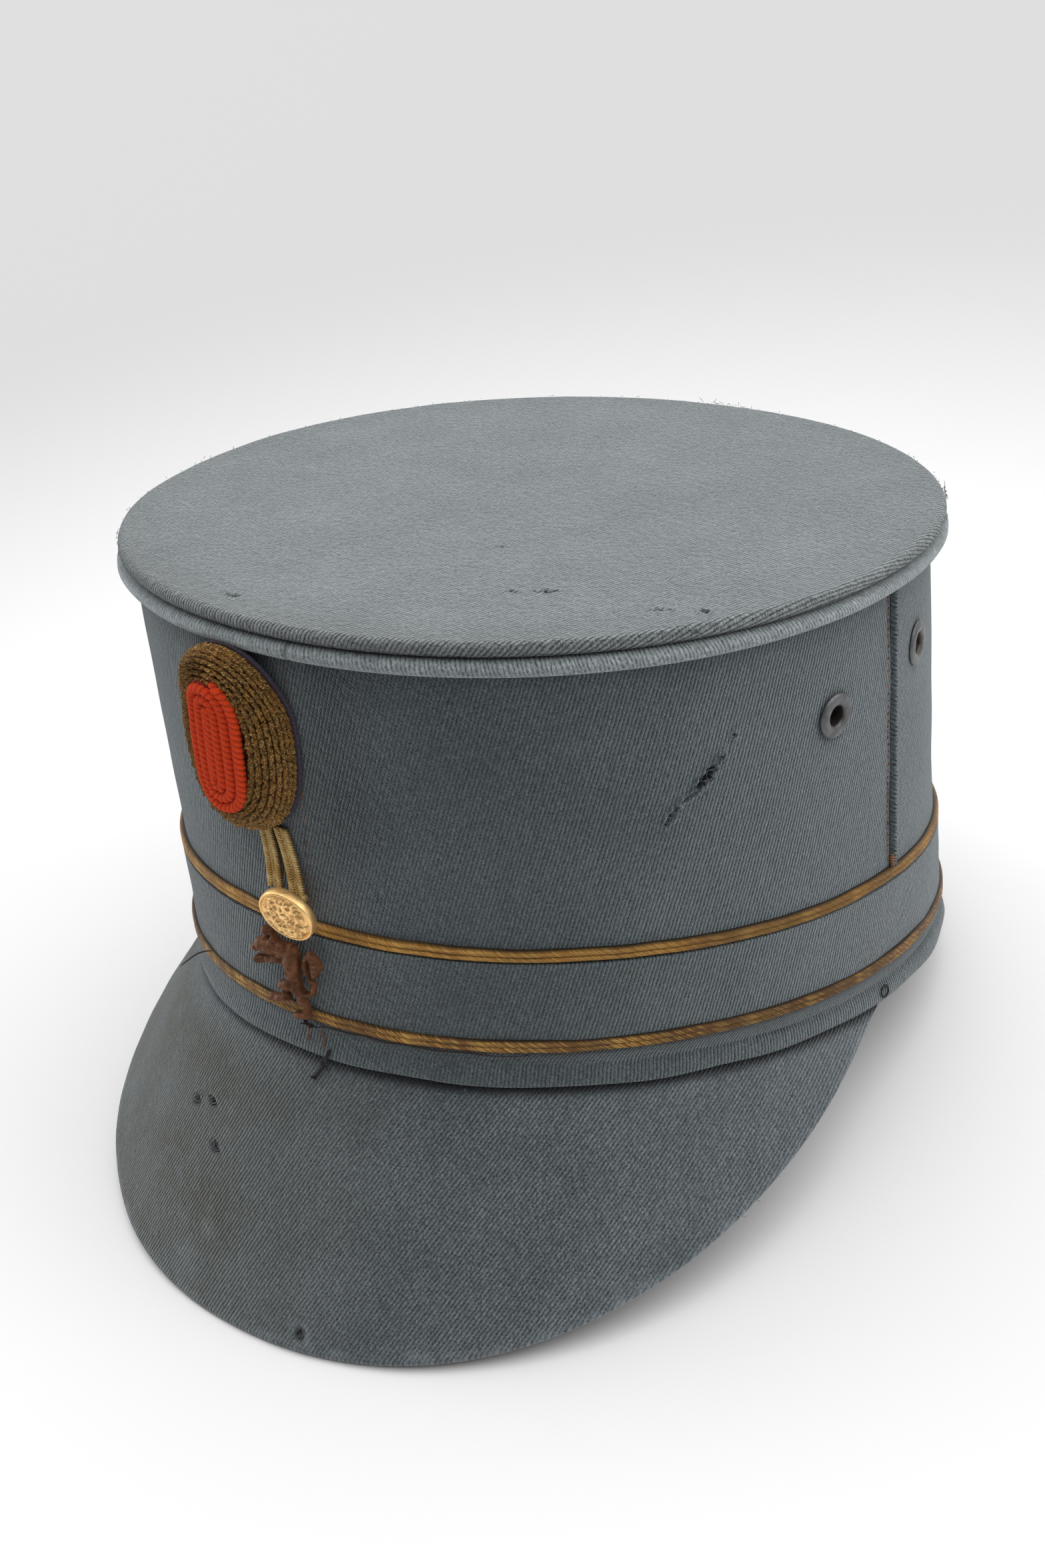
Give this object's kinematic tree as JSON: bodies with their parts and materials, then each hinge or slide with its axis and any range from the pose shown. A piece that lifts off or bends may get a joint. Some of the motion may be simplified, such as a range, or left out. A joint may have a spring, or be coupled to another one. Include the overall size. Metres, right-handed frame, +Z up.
{
  "type": "kepi cap",
  "caption": "Stiff cloth field kepi with a flat oval crown, drooping visor, gold braids, oval cockade, button and lion badge, resting on its visor and rim.",
  "frame": {"origin": "bottom centre of the whole cap's box, on the surface that it rests on", "axes": "+Z up, -Y to the front of the cap, +X to the wearer's left; the cap leans back as it rests on its visor and rim"},
  "size_m": [0.184, 0.2372, 0.1545],
  "materials": {
    "crown_cloth": "matt wool twill, worn paler along the rolled edge",
    "welt_cloth": "matt wool twill on a cord",
    "wall_cloth": "matt wool twill with steep ribs",
    "band_cloth": "matt wool twill",
    "visor_cloth": "matt wool twill, stained olive brown at one side",
    "gold_braid": "tarnished gold wire braid",
    "seam_cord": "dark corded seam",
    "eyelet_metal": "dull oxidised metal",
    "backing_cloth": "dark felt",
    "rosette_gold": "tarnished gold wire braid in rows",
    "orange_cord": "matt orange wool cord",
    "button_gold": "satin gilt",
    "badge_bronze": "brown oxidised bronze"
  },
  "bodies": {
    "root": {"crown_disc": "crown_cloth", "crown_welt": "welt_cloth", "body_wall": "wall_cloth", "hat_band": "band_cloth", "upper_braid": "gold_braid", "lower_braid": "gold_braid", "visor": "visor_cloth", "side_seam_left": "seam_cord", "side_seam_right": "seam_cord", "eyelet_left_front": "eyelet_metal", "eyelet_left_back": "eyelet_metal", "eyelet_right_front": "eyelet_metal", "eyelet_right_back": "eyelet_metal", "cockade_backing": "backing_cloth", "cockade_rosette": "rosette_gold", "cockade_centre": "orange_cord", "loop_cord_left": "gold_braid", "loop_cord_right": "gold_braid", "button": "button_gold", "lion_badge": "badge_bronze"}
  },
  "joints": []
}
